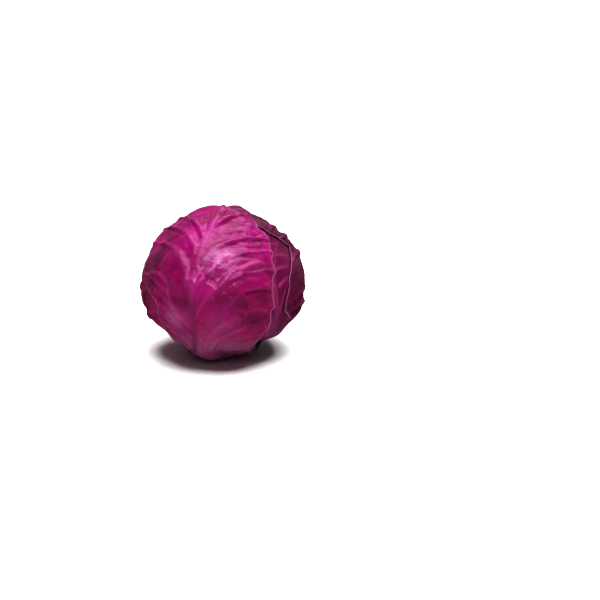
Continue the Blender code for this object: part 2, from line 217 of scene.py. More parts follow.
def piece_of(mesh, skin):
    """The mesh as a piece of the scene, at the origin, in its skin."""
    piece = bpy.data.objects.new(mesh.name, mesh)
    bpy.context.scene.collection.objects.link(piece)
    mesh.materials.append(skin)
    return piece


stem = piece_of(ring_mesh("stem_with_cut_face", stem_grid()), flesh_skin())
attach(stem, "root")
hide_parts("stem")


# The inner head: the tight inner leaves, grown into one dense ball round the stem's point. Its skin
# shows the margins of four leaves that lap over each other, pressed flat by the leaves outside.
MIDDLE_HEIGHT = 0.0645
TOP_RADIUS = 0.0706
SIDE_RADIUS = 0.0742
UNDERSIDE_DISTANCE = 0.0657
UNDERSIDE_TILT = 29.0
UNDERSIDE_LEAN = 3.0
CONE_BLEND = 8.0
MOST_SLANT = 75.0
CORNER_SHARPNESS = 16
UNEVENNESS = 0.0009
UNEVEN_WAVES = ((3.1, 0.0, 1.7, 0.6), (0.0, 4.3, -2.6, 2.1), (3.4, -2.2, 5.2, 0.0))
LEAF_THICKNESS = 0.0012
LEAF_GAP = 0.0005
LAYER = LEAF_THICKNESS + LEAF_GAP + 0.00055
SIDE_LAYERS = 2.5
TOP_LAYERS = 6.0
TOP_CAP_DEPTH = 0.9
FIRST_AZIMUTH = -12.0
GOLDEN_ANGLE = 137.5
LEAF_CENTRE_POLAR = 72.0
PHASE_STEP = 1.9
MARGIN_BEARINGS = np.linspace(-180.0, 180.0, 721)
EDGE_STEP = 3
TIP_PART_START = 0.3
BASE_RUN = 56.0
BASE_SPREAD = 52.0
BASE_FLARE = 44.0
EDGE_WAVES = ((2.6, 5, 1.0), (1.9, 9, 2.3), (1.2, 14, 0.7))
# Where one leaf's edge draws in or reaches out, in degrees: (leaf, size, bearing, half width)
EDGE_LOBES = ((1, 24.0, -64.0, 46.0), (1, 12.0, -20.0, 40.0), (1, 7.0, 43.0, 14.0), (1, 8.5, 124.0, 26.0),
              (2, -26.0, -45.0, 60.0), (2, 21.0, -108.0, 36.0))
PACKED_CLEARANCE = 0.0022
PACKED_BOTTOM = 0.005
PACKED_LEAVES = (7, 8, 9, 10)
PACKED_LEAF_SHAPE = (66.0, 80.0, 0.0)
PACKED_STEP = 0.0004
PACKED_RAMP = (-0.6, 1.2)
PACKED_ROWS = 150
PACKED_SIDES = 220
POCKET_CLEARANCE = 0.0005
POCKET_ROWS = 30


def head_radius(direction):
    """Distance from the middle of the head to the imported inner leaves, under the wrapper leaves.

    A globe whose radius goes from the top's to the side's with the square of the sine of the polar
    angle, met by a cone-shaped underside that leans a little, with a rounded corner (the p-norm of
    both), less the wrapper leaves' layers, made uneven by a few slow waves.
    """
    x, y, z = direction.T
    layers = TOP_LAYERS + (SIDE_LAYERS - TOP_LAYERS) * smooth_step((1.0 - z) / TOP_CAP_DEPTH)
    lean = np.radians(UNDERSIDE_LEAN)
    below = -np.cos(lean) * z - np.sin(lean) * x
    from_below = np.degrees(np.arccos(np.clip(below, -1.0, 1.0)))
    globe = TOP_RADIUS + (SIDE_RADIUS - TOP_RADIUS) * (1.0 - z * z)
    inside_cone = smooth_step((UNDERSIDE_TILT + CONE_BLEND - from_below) / UNDERSIDE_TILT)
    globe += UNDERSIDE_DISTANCE * inside_cone
    slant = np.radians(np.clip(from_below - UNDERSIDE_TILT, -MOST_SLANT, MOST_SLANT))
    cone = UNDERSIDE_DISTANCE / np.cos(slant)
    outer = (globe**-CORNER_SHARPNESS + cone**-CORNER_SHARPNESS) ** (-1.0 / CORNER_SHARPNESS)
    waves = sum(np.sin(a * x + b * y + c * z + start) for a, b, c, start in UNEVEN_WAVES)
    return outer - layers * LAYER + UNEVENNESS * waves


def bump(offset, half_width):
    """A rounded ridge: 1 in the middle, falling as a squared cosine to 0 at the half width."""
    part = np.clip(np.abs(offset) / half_width, 0.0, 1.0)
    return np.cos(0.5 * np.pi * part) ** 2


class Leaf:
    """One leaf of the spiral: where it faces and its outline.

    A leaf has a plane of its own, in degrees on the head: across to its right and along towards
    its tip. Distance and bearing in that plane are distance and bearing on a sphere.
    """

    def __init__(self, number, half_width, tip, lean):
        self.number = number
        self.half_width = half_width
        self.tip = tip
        self.lean = lean
        self.phase = PHASE_STEP * number
        azimuth = np.radians(FIRST_AZIMUTH + GOLDEN_ANGLE * (number - 1))
        facing = np.array([np.sin(azimuth), -np.cos(azimuth), 0.0])
        polar = np.radians(LEAF_CENTRE_POLAR)
        upright = np.array([0.0, 0.0, 1.0])
        self.centre = np.sin(polar) * facing + np.cos(polar) * upright
        self.along = np.sin(polar) * upright - np.cos(polar) * facing
        self.across = np.cross(self.along, self.centre)
        self.outer_margin = self.side_margin(MARGIN_BEARINGS)
        self.inner_margin = self.outer_margin
        self.edge = self.direction(self.outer_margin, MARGIN_BEARINGS)

    def direction(self, distance, bearing):
        """The direction from the head's middle for a distance and bearing in the leaf's plane."""
        reach = np.radians(distance)[:, None]
        turn = np.radians(bearing)[:, None]
        sideways = np.cos(turn) * self.along + np.sin(turn) * self.across
        return np.cos(reach) * self.centre + np.sin(reach) * sideways

    def side_margin(self, bearing):
        """Distance of the edge for a bearing: the half width, longer to the tip and to the base,
        with waves of three lengths round it and the leaf's own lobes."""
        turn = np.radians(bearing)
        from_base = 180.0 - np.abs(bearing)
        towards_tip = ramp(np.cos(turn), TIP_PART_START, 1.0 - TIP_PART_START)
        tip_part = (self.tip - self.half_width) * towards_tip
        base_part = BASE_RUN * smooth_step((BASE_SPREAD - from_base) / BASE_FLARE)
        waves = sum(size * np.sin(count * turn + shift * self.phase) for size, count, shift in EDGE_WAVES)
        waves *= ramp(from_base, 0.5 * BASE_FLARE, BASE_FLARE)
        for number, size, middle, half_width in EDGE_LOBES:
            if number == self.number:
                waves = waves + size * bump(bearing - middle, half_width)
        return self.half_width + tip_part + base_part + waves

    def beyond_edge(self, direction):
        """Degrees from the nearest point of the leaf's edge: more than 0 off the leaf, less on it."""
        distance = np.degrees(np.arccos(np.clip(direction @ self.centre, -1.0, 1.0)))
        bearing = np.degrees(np.arctan2(direction @ self.across, direction @ self.along))
        nearest = np.max(direction @ self.edge[::EDGE_STEP].T, axis=1)
        away = np.degrees(np.arccos(np.clip(nearest, -1.0, 1.0)))
        return np.where(distance > np.interp(bearing, MARGIN_BEARINGS, self.outer_margin), away, -away)

    def cover(self, direction, start, width):
        """1 where this leaf lies, falling to 0 from start to start + width degrees beyond its edge."""
        return 1.0 - ramp(self.beyond_edge(direction), start, width)


def packed_grid():
    """Rows from the top of the ball down its side, in under it, and up the pocket for the stem.

    The ball's radius is the head's, less a clearance, plus a thin step for each packed leaf that
    lies on a point, and never lower than the flat bottom.
    """
    outline = np.array(STEM_OUTLINE)
    mouth = outline[0, 0] + POCKET_CLEARANCE
    lowest = np.pi - np.arctan2(mouth, MIDDLE_HEIGHT - PACKED_BOTTOM)
    round_axis = np.linspace(0.0, 2.0 * np.pi, PACKED_SIDES, endpoint=False)
    polar, turn = np.meshgrid(np.linspace(0.0, lowest, PACKED_ROWS), round_axis, indexing="ij")
    sideways = np.sin(polar)
    direction = np.stack([sideways * np.cos(turn), sideways * np.sin(turn), np.cos(polar)], axis=-1)
    flat = direction.reshape(-1, 3)
    radius = head_radius(flat) - PACKED_CLEARANCE
    for number in PACKED_LEAVES:
        packed = Leaf(number, *PACKED_LEAF_SHAPE)
        radius += PACKED_STEP * packed.cover(flat, *PACKED_RAMP)
    to_bottom = (MIDDLE_HEIGHT - PACKED_BOTTOM) / np.maximum(-flat[:, 2], 1e-3)
    ball = (flat * np.minimum(radius, to_bottom)[:, None]).reshape(PACKED_ROWS, PACKED_SIDES, 3)
    ball[..., 2] += MIDDLE_HEIGHT
    height = np.linspace(PACKED_BOTTOM, outline[-1, 1] + 2.0 * POCKET_CLEARANCE, POCKET_ROWS)[1:]
    wide = np.interp(height, outline[:, 1], outline[:, 0] + POCKET_CLEARANCE)
    wide[-1] = 0.0
    pocket = np.stack([wide[:, None] * np.cos(turn[0]), wide[:, None] * np.sin(turn[0]),
                       np.broadcast_to(height[:, None], (len(height), PACKED_SIDES))], axis=-1)
    return np.concatenate([ball, pocket])[::-1]


PACKED_CRIMSON = (0.34, 0.03, 0.16)
PACKED_ROSE = (0.52, 0.12, 0.33)
PACKED_VEIN = (0.70, 0.40, 0.55)


def packed_skin():
    """Pale crimson, cloudy, with fine veins: leaves that have had little light."""
    skin = Skin("packed_inner_leaves")
    place = skin.place()
    cloud = skin.noise(place, 60.0, 5.0)
    net = skin.node("ShaderNodeTexVoronoi", {"Vector": place, "Scale": 160.0}, feature="DISTANCE_TO_EDGE")
    lines = skin.spread(net.outputs["Distance"], 0.0, 0.09, 1.0, 0.0)
    colour = skin.mix(cloud, PACKED_CRIMSON, PACKED_ROSE)
    colour = skin.mix(skin.sum("MULTIPLY", lines, 0.4), colour, PACKED_VEIN)
    return skin.finish(Base_Color=colour, Roughness=skin.spread(cloud, 0.3, 0.7, 0.38, 0.55),
                       Normal=skin.raised(lines, 0.0002))


inner_head = piece_of(ring_mesh("packed_inner_head", packed_grid()), packed_skin())
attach(inner_head, "root")
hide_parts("inner_head")


# The wrapper leaves: six broad waxy blades that lap over each other in a spiral, each a single
# layer about a millimetre thick. A thick midrib runs up from the cut base, side ribs fork off it
# towards a thin waved margin, and the blade is puckered between them.
# Each leaf: half its width, how far up its tip is, and its midrib's lean, in degrees on the head
LEAVES = ((54.0, 72.0, -9.0), (55.0, 78.0, 5.0), (62.0, 80.0, -4.0),
          (66.0, 82.0, 4.0), (67.0, 82.0, -5.0), (68.0, 82.0, 3.0))
OUTER_CELLS = 240
INNER_CELLS = 120
BASE_SLACK = 0.0010
BASE_SLACK_RAMP = (0.5, 0.2)
CUT_HEIGHT = 0.0035
STEP_RAMP = (4.5, 14.0)
RELIEF_RAMP = (4.5, 12.0)
LEAST_CUT_DISTANCE = 60.0
HALVINGS = 24
CRINKLES = ((0.55, 23, 1.3), (0.40, 37, 0.4), (0.28, 58, 2.2))
CRINKLE_RAMP = (25.0, 20.0)
EDGE_THICKNESS = 0.0005
EDGE_TAPER = 3.0
EDGE_ROUNDING = 0.0003
EDGE_ROUNDING_RUN = 0.006
LIP_HEIGHT = 0.0003
LIP_DEPTH = 3.5
LIP_CURLS = 9.0
LIP_CURL_START = 30.0
LIP_CURL_SEED = 7
DROOP = 0.8
DROOP_DEPTH = 8.0
SUPPORT_RAMP = (1.0, 5.0)
# How much darker than the outermost leaf each one is, in painted shade
LEAF_SHADES = (0.0, 0.8, 0.25, 0.7, 0.2, 0.3)

BASE_ALONG = -87.0
TIP_ALONG = 70.0
# At its base and at its tip
MIDRIB_HEIGHT = (0.0046, 0.0018)
MIDRIB_HALF_WIDTH = (16.0, 5.0)
MIDRIB_BOW = 0.7
MIDRIB_TAPER = 1.6
MIDRIB_PALENESS = 0.8
MIDRIB_PALE_PART = 0.45
MIDRIB_PALE_RAMP = (-60.0, 50.0)
SIDE_RIB_STARTS = (-84.0, -62.0, -38.0, -12.0, 14.0, 38.0)
SIDE_RIB_HEIGHT = 0.0027
SIDE_RIB_HALF_WIDTH = 5.2
SIDE_RIB_REACH = 15.0
SIDE_RIB_SLANT = 0.1
SIDE_RIB_FALL = 75.0
SIDE_RIB_START_FADE = 4.0
SIDE_RIB_BASE_FADE = 22.0
SIDE_RIB_SCATTER = 7.0
SIDE_RIB_SCATTER_STEP = 2.1
SIDE_RIB_BASE_RISE = 52.0
SIDE_RIB_LESS_RISE = 0.22
SIDE_RIB_NARROWING = 0.45
SIDE_RIB_NARROWING_RUN = 45.0
SIDE_RIB_PALENESS = 0.75
SIDE_RIB_PALE_PART = 0.4

PUCKER_HEIGHT = 0.0007
PUCKER_WAVES = ((0.17, 0.11, 1.0), (-0.10, 0.13, 1.3))
SMOOTH_BASE = 12.0
SMOOTH_BASE_RUN = 36.0
LEAST_LIFT = 0.0002
RUFFLE_HEIGHT = 0.0007
RUFFLE_DEPTH = 13.0
RUFFLES = 9
EDGE_CALM = 0.6
# Where one leaf's blade swells out: (leaf, across, along, half width, half length)
SWELLING = (1, 9.0, 15.0, 19.0, 16.0)
SWELLING_HEIGHT = 0.0028
SWELLING_CALM = 0.8


def midrib_course(leaf, along):
    """How far across the midrib lies: a slow bow, no lean at the base."""
    part = (along - BASE_ALONG) / (TIP_ALONG - BASE_ALONG)
    return leaf.lean * np.sin(np.pi * np.clip(part, 0.0, 1.0) ** MIDRIB_BOW)


def side_rib(leaf, index, side, out):
    """Where a side rib runs, 'out' degrees from the midrib: start + rise * (1 - exp(-out / reach)),
    plus how steep it is there."""
    begin = SIDE_RIB_STARTS[index] + SIDE_RIB_SCATTER * np.sin(
        leaf.phase + SIDE_RIB_SCATTER_STEP * index + side)
    rise = SIDE_RIB_BASE_RISE - SIDE_RIB_LESS_RISE * (begin - BASE_ALONG)
    left = np.exp(-out / SIDE_RIB_REACH)
    course = begin + rise * (1.0 - left) + SIDE_RIB_SLANT * out
    return course, np.hypot(1.0, rise / SIDE_RIB_REACH * left + SIDE_RIB_SLANT)


def mound(across, along, at_across, at_along, half_width, half_length):
    """A rounded hill in a leaf's plane: 1 on its top, 0 at its foot and beyond."""
    return bump(np.hypot((across - at_across) / half_width, (along - at_along) / half_length), 1.0)


def swelling(leaf, across, along):
    """How far up the leaf's swelling a point lies, from 0 to 1."""
    number, *outline = SWELLING
    return mound(across, along, *outline) if leaf.number == number else np.zeros(len(across))


def rib_height(leaf, across, along):
    """Height of the midrib and the side ribs above the blade, and how pale they make it."""
    part = np.clip((along - BASE_ALONG) / (TIP_ALONG - BASE_ALONG), 0.0, 1.0)
    thin = 1.0 - (1.0 - part) ** MIDRIB_TAPER
    aside = across - midrib_course(leaf, along)
    ends = (MIDRIB_HEIGHT, MIDRIB_HALF_WIDTH)
    height, half_width = (base + (tip - base) * thin for base, tip in ends)
    highest = height * bump(aside, half_width)
    pale = MIDRIB_PALENESS * bump(aside, MIDRIB_PALE_PART * half_width)
    pale = pale * ramp(along, *MIDRIB_PALE_RAMP)
    for index in range(len(SIDE_RIB_STARTS)):
        for side in (-1.0, 1.0):
            out = np.maximum(side * aside, 0.0)
            course, steepness = side_rib(leaf, index, side, out)
            fall = np.exp(-out / SIDE_RIB_FALL) * smooth_step(side * aside / SIDE_RIB_START_FADE)
            fall = fall * ramp(along - BASE_ALONG, SMOOTH_BASE, SIDE_RIB_BASE_FADE)
            offset = (along - course) / steepness
            narrowing = SIDE_RIB_NARROWING * smooth_step(out / SIDE_RIB_NARROWING_RUN)
            narrow = SIDE_RIB_HALF_WIDTH * (1.0 - narrowing)
            highest = np.maximum(highest, SIDE_RIB_HEIGHT * fall * bump(offset, narrow))
            paleness = SIDE_RIB_PALENESS * fall * bump(offset, SIDE_RIB_PALE_PART * narrow)
            pale = np.maximum(pale, paleness)
    calm = 1.0 - SWELLING_CALM * swelling(leaf, across, along)
    return highest * calm, pale * calm


NOISE_CELLS = 128


def soft_noise(x, y, seed):
    """Smooth noise from -1 to 1: random numbers on the corners of unit squares, blended smoothly."""
    table = np.random.default_rng(seed).uniform(-1.0, 1.0, (NOISE_CELLS, NOISE_CELLS))
    left, low = np.floor(x).astype(int), np.floor(y).astype(int)
    u, v = smooth_step(x - left), smooth_step(y - low)
    right, high = (left + 1) % NOISE_CELLS, (low + 1) % NOISE_CELLS
    left, low = left % NOISE_CELLS, low % NOISE_CELLS
    lower = table[left, low] * (1.0 - u) + table[right, low] * u
    upper = table[left, high] * (1.0 - u) + table[right, high] * u
    return lower * (1.0 - v) + upper * v


def smooth_course(points, steps=5):
    """A course bent smoothly through its points: between each two a cubic that leaves a point in
    the direction from its neighbour before to its neighbour after."""
    held = np.asarray(points, float)
    held = np.concatenate([[2.0 * held[0] - held[1]], held, [2.0 * held[-1] - held[-2]]])
    a, b, c, d = (held[start:len(held) - 3 + start, None] for start in range(4))
    t = np.linspace(0.0, 1.0, steps, endpoint=False)[None, :, None]
    bending = 2.0 * a - 5.0 * b + 4.0 * c - d + t * (3.0 * (b - c) + d - a)
    curve = b + 0.5 * t * ((c - a) + t * bending)
    return np.concatenate([curve.reshape(-1, 2), held[-2:-1]])


def near_course(across, along, course, reach):
    """For the points within reach of a course: which they are, how far from it (as a part of the
    reach), and how far down it (0 to 1)."""
    low, high = course.min(axis=0) - reach, course.max(axis=0) + reach
    in_width = (across > low[0]) & (across < high[0])
    close = np.flatnonzero(in_width & (along > low[1]) & (along < high[1]))
    start, run = course[:-1], np.diff(course, axis=0)
    x = across[close, None] - start[:, 0]
    y = along[close, None] - start[:, 1]
    length = np.sum(run * run, axis=1)
    part = np.clip((x * run[:, 0] + y * run[:, 1]) / length, 0.0, 1.0)
    away = np.hypot(x - part * run[:, 0], y - part * run[:, 1])
    nearest = np.argmin(away, axis=1)
    rows = np.arange(len(close))
    down = (nearest + part[rows, nearest]) / len(run)
    return close, away[rows, nearest] / reach, down


VEIN_SEED = 40
VEIN_STEPS = 7
VEIN_STARTS = (6.0, 58.0, 8.0)
VEIN_SCATTER = 1.5
VEIN_LENGTH = (7.0, 15.0)
VEIN_ANGLE = (28.0, 55.0)
VEIN_BEND = (5.0, 30.0)
VEIN_HALF_WIDTH = (1.0, 1.5)
VEIN_HEIGHT = (0.0002, 0.0004)
HEADING_RUN = 0.5
# Side veins that show on the fourth leaf, between the margins of the first two
SHOWN_VEIN_HALF_WIDTH = 2.4
SHOWN_VEIN_HEIGHT = 0.0014
SHOWN_VEINS = (((4, 13), (10, 14), (17, 15), (30, 12)), ((8, 22), (16, 25), (28, 25)),
               ((8, -9), (13, -7), (20, -5), (28, -5)), ((4, 2), (14, 4), (26, 3)))


def branch_veins(leaf):
    """Small veins that fork off each side rib, by turns up and down, and bend towards the margin.

    Each is a course of points: it leaves its rib at an angle of 28 to 55 degrees and turns a
    little as it goes. Gives (course, half width, height) for each.
    """
    draw = np.random.default_rng(VEIN_SEED + leaf.number)
    veins = []
    if leaf.number == 4:
        for points in SHOWN_VEINS:
            veins.append((smooth_course(points), SHOWN_VEIN_HALF_WIDTH, SHOWN_VEIN_HEIGHT))
    step = np.linspace(0.0, 1.0, VEIN_STEPS)
    for index in range(len(SIDE_RIB_STARTS)):
        for side in (-1.0, 1.0):
            turn_up = 1.0
            for out in np.arange(*VEIN_STARTS):
                out = out + draw.uniform(-VEIN_SCATTER, VEIN_SCATTER)
                course, _ = side_rib(leaf, index, side, np.array([out, out + HEADING_RUN]))
                heading = np.arctan2(course[1] - course[0], HEADING_RUN)
                length = draw.uniform(*VEIN_LENGTH)
                angle = heading + turn_up * np.radians(draw.uniform(*VEIN_ANGLE))
                bend = -turn_up * np.radians(draw.uniform(*VEIN_BEND))
                way = angle + bend * step
                aside = out + length * np.cumsum(np.cos(way)) / len(step)
                up = course[0] + length * np.cumsum(np.sin(way)) / len(step)
                points = np.stack([side * aside + midrib_course(leaf, up), up], axis=1)
                veins.append((points, draw.uniform(*VEIN_HALF_WIDTH), draw.uniform(*VEIN_HEIGHT)))
                turn_up = -turn_up
    return veins


# What the outermost leaf has that the others don't: (height in metres, half width in degrees,
# how pale, or for a groove how dark in painted shade, points across and along the leaf in degrees)
FRONT_LEAF_MARKS = (
    (0.0005, 2.2, 0.9, ((-13, -8), (-12, 4), (-11, 14), (-9, 26), (-6, 38), (-5, 54), (-7, 72))),
    (0.0008, 2.4, 0.7, ((-17, -42), (-22, -27), (-26, -14), (-29, -4), (-36, 2), (-46, 4), (-60, 1))),
    (0.0009, 3.2, 0.5, ((-62, -9), (-54, -15), (-46, -22), (-40, -29), (-32, -42))),
    (0.0006, 2.4, 0.5, ((-17, -56), (-18, -40), (-21, -28), (-26, -19), (-34, -13))),
    (0.0012, 3.0, 0.8, ((8, -5), (12, -1), (16, 5), (21, 9), (27, 11), (33, 15), (39, 17), (46, 16))),
    (0.0006, 1.4, 0.8, ((-5, 7), (-1, 3), (3, -2), (8, -5))),
    (0.0007, 2.4, 0.7, ((11, 44), (17, 42), (25, 39), (32, 39), (41, 44), (49, 54))),
    (0.0006, 2.0, 0.6, ((11, 54), (21, 54), (28, 58), (39, 57), (48, 62))),
    (0.0007, 2.0, 0.6, ((1, 70), (11, 62), (18, 68), (26, 62), (36, 66))),
    (0.0005, 2.2, 0.5, ((12, 35), (18, 33), (24, 32), (32, 31), (42, 35))),
    (0.0005, 2.4, 0.4, ((30, 24), (38, 26), (47, 30), (55, 30))),
    (0.0006, 2.4, 0.4, ((28, -6), (38, -3), (44, 0), (52, 4))),
    (0.0004, 2.4, 0.4, ((36, -16), (40, -11), (45, -8), (51, -8))),
    (0.0003, 2.4, 0.3, ((13, -19), (19, -14), (25, -8))),
    (0.0003, 2.4, 0.3, ((21, -17), (28, -22), (32, -32))),
    (0.0004, 2.2, 0.3, ((32, -33), (40, -30), (47, -25), (54, -24))),
    (0.0004, 1.4, 0.9, ((1, -11), (4, -10), (8, -12))),
    (-0.0014, 5.0, 0.55, ((-17, -70), (-13, -56), (-9, -40), (-8, -26), (-10, -15), (-13, -2))),
    (-0.0006, 3.0, 0.3, ((-1, 5), (3, 1), (8, -1), (13, 4))),
    (-0.0008, 2.4, 0.6, ((12, 49), (20, 50), (27, 52), (34, 52))),
    (-0.0006, 2.2, 0.5, ((6, 61), (14, 60), (24, 62))),
    (-0.0013, 2.6, 1.0, ((27, -8), (34, -6), (42, -5), (52, -6))),
    (-0.0007, 3.0, 0.6, ((24, 5), (32, 9), (40, 11), (50, 10))),
    (-0.0007, 3.0, 0.5, ((20, 24), (28, 20), (36, 21))),
    (-0.0008, 3.2, 0.6, ((24, -20), (31, -27), (34, -34))),
)
# Swellings and hollows of its blade, with painted shade on hollows and sides and painted light towards
# the middle: (height, how dark, or less than 0 for how bright, across, along, half width, half length)
FRONT_LEAF_SWELLINGS = (
    (0.0016, 0.0, 44.0, -15.0, 8.0, 6.0),
    (-0.0012, 0.9, -48.0, -4.0, 14.0, 9.0), (-0.0006, 0.5, -25.0, 8.0, 8.0, 10.0),
    (-0.0007, 1.0, -47.0, 14.0, 20.0, 19.0), (0.0010, -0.3, -22.0, 34.0, 10.0, 10.0),
    (0.0, 0.7, -62.0, 10.0, 16.0, 30.0), (0.0, 0.6, -48.0, 44.0, 18.0, 16.0),
    (0.0010, -0.5, 12.0, -22.0, 18.0, 14.0), (-0.0008, 0.9, 36.0, -27.0, 13.0, 13.0),
    (0.0008, 0.0, 34.0, 2.0, 9.0, 5.0), (-0.0004, 0.85, 43.0, -10.0, 15.0, 12.0),
    (0.0, -0.9, -1.0, -3.0, 16.0, 14.0), (0.0, -0.7, -23.0, -28.0, 14.0, 14.0),
)


VEIN_TAPER = 0.6
VEIN_PALENESS = 1100.0
MARK_END_FADE = 8.0
SEEDS_PER_LEAF = 100
# Unevenness of every blade: (height in metres, width and length of a swell in degrees)
BLADE_SWELLS = ((0.0006, 9.0, 7.0), (0.0003, 4.5, 3.0))
# Sharp creases, which wander and come in patches
CREASE_HEIGHT = 0.0005
CREASE_WIDTH = 11.0
CREASE_LENGTH = 5.5
CREASE_WANDER = 0.4
CREASE_WANDER_SIZE = 5.0
CREASE_PATCH = 20.0
# Fine crinkles on the swelling
CRUMPLE_HEIGHT = 0.0003
CRUMPLE_WIDTH = 2.2
CRUMPLE_LENGTH = 1.8
# Long slanting wrinkles at the upper right of the blade
WRINKLE_HEIGHT = 0.0005
WRINKLE_WIDTH = 11.0
WRINKLE_LENGTH = 2.6
WRINKLE_SLANT = 14.0
WRINKLE_ALONG_RAMP = (2.0, 25.0)
WRINKLE_ACROSS_RAMP = (-5.0, 20.0)


def blade_marks(leaf, across, along):
    """Veins and folds of a leaf: the height of the fold, the height of the small veins, how pale they
    make it, and the painted shade (how dark) and painted light (how bright) laid on it."""
    fold, vein = np.zeros(len(across)), np.zeros(len(across))
    pale, dark, painted_light = np.zeros((3, len(across)))
    for course, half_width, height in leaf.veins:
        close, away, down = near_course(across, along, course, half_width)
        ridge = bump(away, 1.0) * (1.0 - VEIN_TAPER * down)
        vein[close] = np.maximum(vein[close], height * ridge)
        pale[close] = np.maximum(pale[close], VEIN_PALENESS * height * ridge)
    if leaf.number == 1:
        for height, half_width, strength, points in FRONT_LEAF_MARKS:
            close, away, down = near_course(across, along, smooth_course(points), half_width)
            ends = smooth_step(MARK_END_FADE * down), smooth_step(MARK_END_FADE * (1.0 - down))
            ridge = bump(away, 1.0) * ends[0] * ends[1]
            fold[close] += height * ridge
            # A groove gets painted shade, a ridge gets paler
            tone = pale if height > 0.0 else dark
            tone[close] = np.maximum(tone[close], strength * ridge)
        for height, darkness, *outline in FRONT_LEAF_SWELLINGS:
            hill = mound(across, along, *outline)
            fold += height * hill
            # Painted shade on hollows and sides, painted light where the darkness is below 0
            dark = np.maximum(dark, darkness * hill)
            painted_light = np.maximum(painted_light, -darkness * hill)
    seed = SEEDS_PER_LEAF * leaf.number
    for number, (height, wide, long) in enumerate(BLADE_SWELLS):
        fold += height * soft_noise(across / wide, along / long, seed + number)
    size = CREASE_WANDER_SIZE
    wander = CREASE_WANDER * soft_noise(across / size, along / size, seed + 2)
    crease = soft_noise(across / CREASE_WIDTH + wander, along / CREASE_LENGTH, seed + 3)
    crease = 1.0 - 2.0 * np.abs(crease)
    patch = 0.5 + 0.5 * soft_noise(across / CREASE_PATCH, along / CREASE_PATCH, seed + 4)
    fold += CREASE_HEIGHT * np.maximum(crease, 0.0) ** 2 * patch
    swell = swelling(leaf, across, along)
    calm = 1.0 - SWELLING_CALM * swell
    fold = fold * calm + SWELLING_HEIGHT * swell
    crumples = soft_noise(across / CRUMPLE_WIDTH, along / CRUMPLE_LENGTH, seed + 5)
    fold += CRUMPLE_HEIGHT * swell * crumples
    wrinkled = ramp(along, *WRINKLE_ALONG_RAMP) * ramp(across, *WRINKLE_ACROSS_RAMP)
    slanted = along / WRINKLE_LENGTH - across / WRINKLE_SLANT
    fold += WRINKLE_HEIGHT * wrinkled * soft_noise(across / WRINKLE_WIDTH, slanted, seed + 6)
    return fold, vein * calm, pale * calm, dark * calm, painted_light


def above_base(along):
    """0 on the smooth thick base of a leaf, 1 on its blade, smooth between."""
    return ramp(along - BASE_ALONG, SMOOTH_BASE, SMOOTH_BASE_RUN)


def blade_lift(leaf, across, along, beyond, fold):
    """How far the whole blade stands off what is beneath: puckers between the ribs, waved edges,
    and its folds, never less than nothing."""
    puckers = np.ones(len(across))
    for a, b, shift in PUCKER_WAVES:
        puckers = puckers * np.sin(a * across + b * along + shift * leaf.phase)
    around = np.arctan2(across, along)
    ruffle = np.sin(RUFFLES * around + leaf.phase)
    near_edge = ramp(beyond, -RUFFLE_DEPTH, RUFFLE_DEPTH)
    lip = ramp(beyond, -LIP_DEPTH, LIP_DEPTH)
    round_edge = LIP_CURLS * around + LIP_CURL_START
    curl = 1.0 + soft_noise(round_edge, 0.0 * around, LIP_CURL_SEED * leaf.number)
    lift = (PUCKER_HEIGHT * (1.0 + puckers) + fold) * (1.0 - EDGE_CALM * near_edge)
    lift += RUFFLE_HEIGHT * (1.0 + ruffle) * near_edge + LIP_HEIGHT * curl * lip
    softened = 0.5 * (lift + np.sqrt(lift * lift + LEAST_LIFT**2))
    return softened * above_base(along)


def bed(leaves, index, direction):
    """What a leaf rests on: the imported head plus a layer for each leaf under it, the layers a
    little further apart round the base, where the edges crowd together. Also the surface of
    whatever really is beneath, which can lie lower."""
    near_base = ramp(-direction[:, 2], *BASE_SLACK_RAMP)
    height = head_radius(direction)
    beneath = height
    for under in reversed(leaves[index + 1:]):
        top = height + LEAF_GAP + LEAF_THICKNESS
        support = under.cover(direction, *SUPPORT_RAMP)
        beneath = beneath + (top - beneath) * support
        layer = LAYER + BASE_SLACK * near_base
        height = height + layer * under.cover(direction, *STEP_RAMP)
    return height, beneath


def open_to_air(leaves, index, direction):
    """1 where no other leaf lies over this one, 0 where one does, smooth between."""
    free = np.ones(len(direction))
    for over in leaves[:index]:
        free = free * (1.0 - over.cover(direction, *RELIEF_RAMP))
    return free


# Where a bloom of wax lies on the outermost leaf besides its base: (how much, across, along,
# half width, half length)
WAX_PATCHES = ((0.75, -24.0, -29.0, 15.0, 17.0), (0.35, 12.0, -34.0, 20.0, 14.0))
WAX_START = -27.0
WAX_RUN = 34.0
WAX_NARROWING = 0.2


def waxy_bloom(leaf, across, along):
    """How much lilac wax lies on the leaf: all over its base, less and less up the blade."""
    bloom = smooth_step((WAX_START - along - WAX_NARROWING * np.abs(across)) / WAX_RUN)
    if leaf.number == 1:
        for amount, *outline in WAX_PATCHES:
            bloom = np.maximum(bloom, amount * mound(across, along, *outline))
    return bloom


ABOVE_CUT_RUN = 0.008
FOLD_ON_RIBS = 0.6
RIB_FADE = 0.001
LEAST_RIB = 0.35
COVERED_PALENESS = 0.75
VEINS_IN_SHADE = 0.9
EDGE_IN_SHADE = 0.65
EDGE_LINE = 1.1
UPPER_RAMP = (-25.0, 85.0)
CUT_FADE = 0.002
# How far the painted highlight sits off the top of the swelling, in degrees
PAINTED_HIGHLIGHT_SHIFT = 1.0


